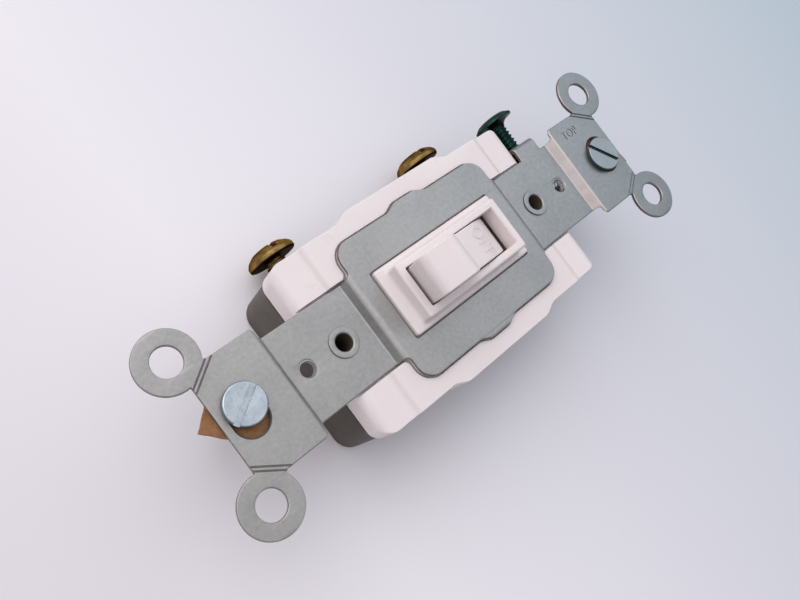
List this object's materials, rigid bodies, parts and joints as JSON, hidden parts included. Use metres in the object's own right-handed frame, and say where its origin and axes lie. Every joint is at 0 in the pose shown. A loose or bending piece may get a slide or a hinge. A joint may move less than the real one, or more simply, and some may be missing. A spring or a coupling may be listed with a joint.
{
  "type": "toggle wall switch",
  "caption": "Single-pole toggle light switch on a metal mounting strap with break-off ears, side terminal screws and a ground screw.",
  "frame": {"origin": "centre of the housing's flat back face", "axes": "+X along the strap towards its top end (lever ON side), +Y towards the terminal screws, +Z out of the wall, along the lever's side"},
  "size_m": [0.102, 0.038, 0.0349],
  "materials": {
    "galvanised_steel": "galvanised sheet, dull spangle",
    "white_plastic": "moulded, satin gloss",
    "dark_plastic": "moulded phenolic, matte",
    "aged_brass": "plated, tarnished",
    "green_ground_screw": "dark green finish over steel",
    "zinc_screw": "bright zinc plate",
    "fibreboard": "brown pressed paper fibre",
    "spring_steel": "bright wire",
    "silver_contact": "silver alloy",
    "black_rubber": "moulded rubber"
  },
  "bodies": {
    "housing": {"strap": "galvanised_steel", "front_cover": "white_plastic", "rear_body": "dark_plastic", "eyelet_bottom": "galvanised_steel", "eyelet_top": "galvanised_steel", "line_terminal": "aged_brass", "fixed_contact": "silver_contact", "load_terminal": "aged_brass", "contact_spring": "spring_steel", "bumper_off": "black_rubber", "bumper_on": "black_rubber"},
    "toggle": {"toggle": "white_plastic"},
    "detent": {"detent_spring": "spring_steel", "spring_cup": "dark_plastic"},
    "contact": {"contact_arm": "aged_brass", "moving_contact": "silver_contact"},
    "line_screw": {"line_screw": "aged_brass"},
    "load_screw": {"load_screw": "aged_brass"},
    "ground_screw": {"ground_screw": "green_ground_screw"},
    "washer_bottom": {"washer_bottom": "fibreboard"},
    "mounting_screw_bottom": {"mounting_screw_bottom": "zinc_screw"},
    "washer_top": {"washer_top": "fibreboard"},
    "mounting_screw_top": {"mounting_screw_top": "zinc_screw"}
  },
  "joints": [
    {"name": "toggle_hinge", "type": "hinge", "parent": "housing", "child": "toggle", "pos_m": [0, 0, 0.015], "axis": [0, 1, 0], "range_deg": [0, 49.2]},
    {"name": "detent_swing", "type": "hinge", "parent": "housing", "child": "detent", "pos_m": [0, 0, 0.0022], "axis": [0, 1, 0], "range_deg": [-24.5, 0.5]},
    {"name": "contact_swing", "type": "hinge", "parent": "housing", "child": "contact", "pos_m": [0.0034, 0, 0.0029], "axis": [0, 1, 0], "range_deg": [-8.05, 0.1]},
    {"name": "line_screw_travel", "type": "slide", "parent": "housing", "child": "line_screw", "axis": [0, 1, 0], "range_m": [-0.004, 0.0015]},
    {"name": "load_screw_travel", "type": "slide", "parent": "housing", "child": "load_screw", "axis": [0, 1, 0], "range_m": [-0.0045, 0.001]},
    {"name": "ground_screw_travel", "type": "slide", "parent": "housing", "child": "ground_screw", "axis": [0, 1, 0], "range_m": [-0.0047, 0.0015]},
    {"name": "washer_bottom_shift", "type": "slide", "parent": "housing", "child": "washer_bottom", "axis": [0, 1, 0], "range_m": [-0.0031, 0.0008]},
    {"name": "mounting_screw_bottom_travel", "type": "slide", "parent": "washer_bottom", "child": "mounting_screw_bottom", "axis": [0, 0, 1], "range_m": [0, 0.01]},
    {"name": "washer_top_shift", "type": "slide", "parent": "housing", "child": "washer_top", "axis": [0, 1, 0], "range_m": [-0.0018, 0.0021]},
    {"name": "mounting_screw_top_travel", "type": "slide", "parent": "washer_top", "child": "mounting_screw_top", "axis": [0, 0, 1], "range_m": [0, 0.01]}
  ],
  "couplings": [
    {"joint": "detent_swing", "follows": "toggle_hinge", "ratio": -0.4935},
    {"joint": "contact_swing", "follows": "toggle_hinge", "ratio": -0.1626}
  ]
}
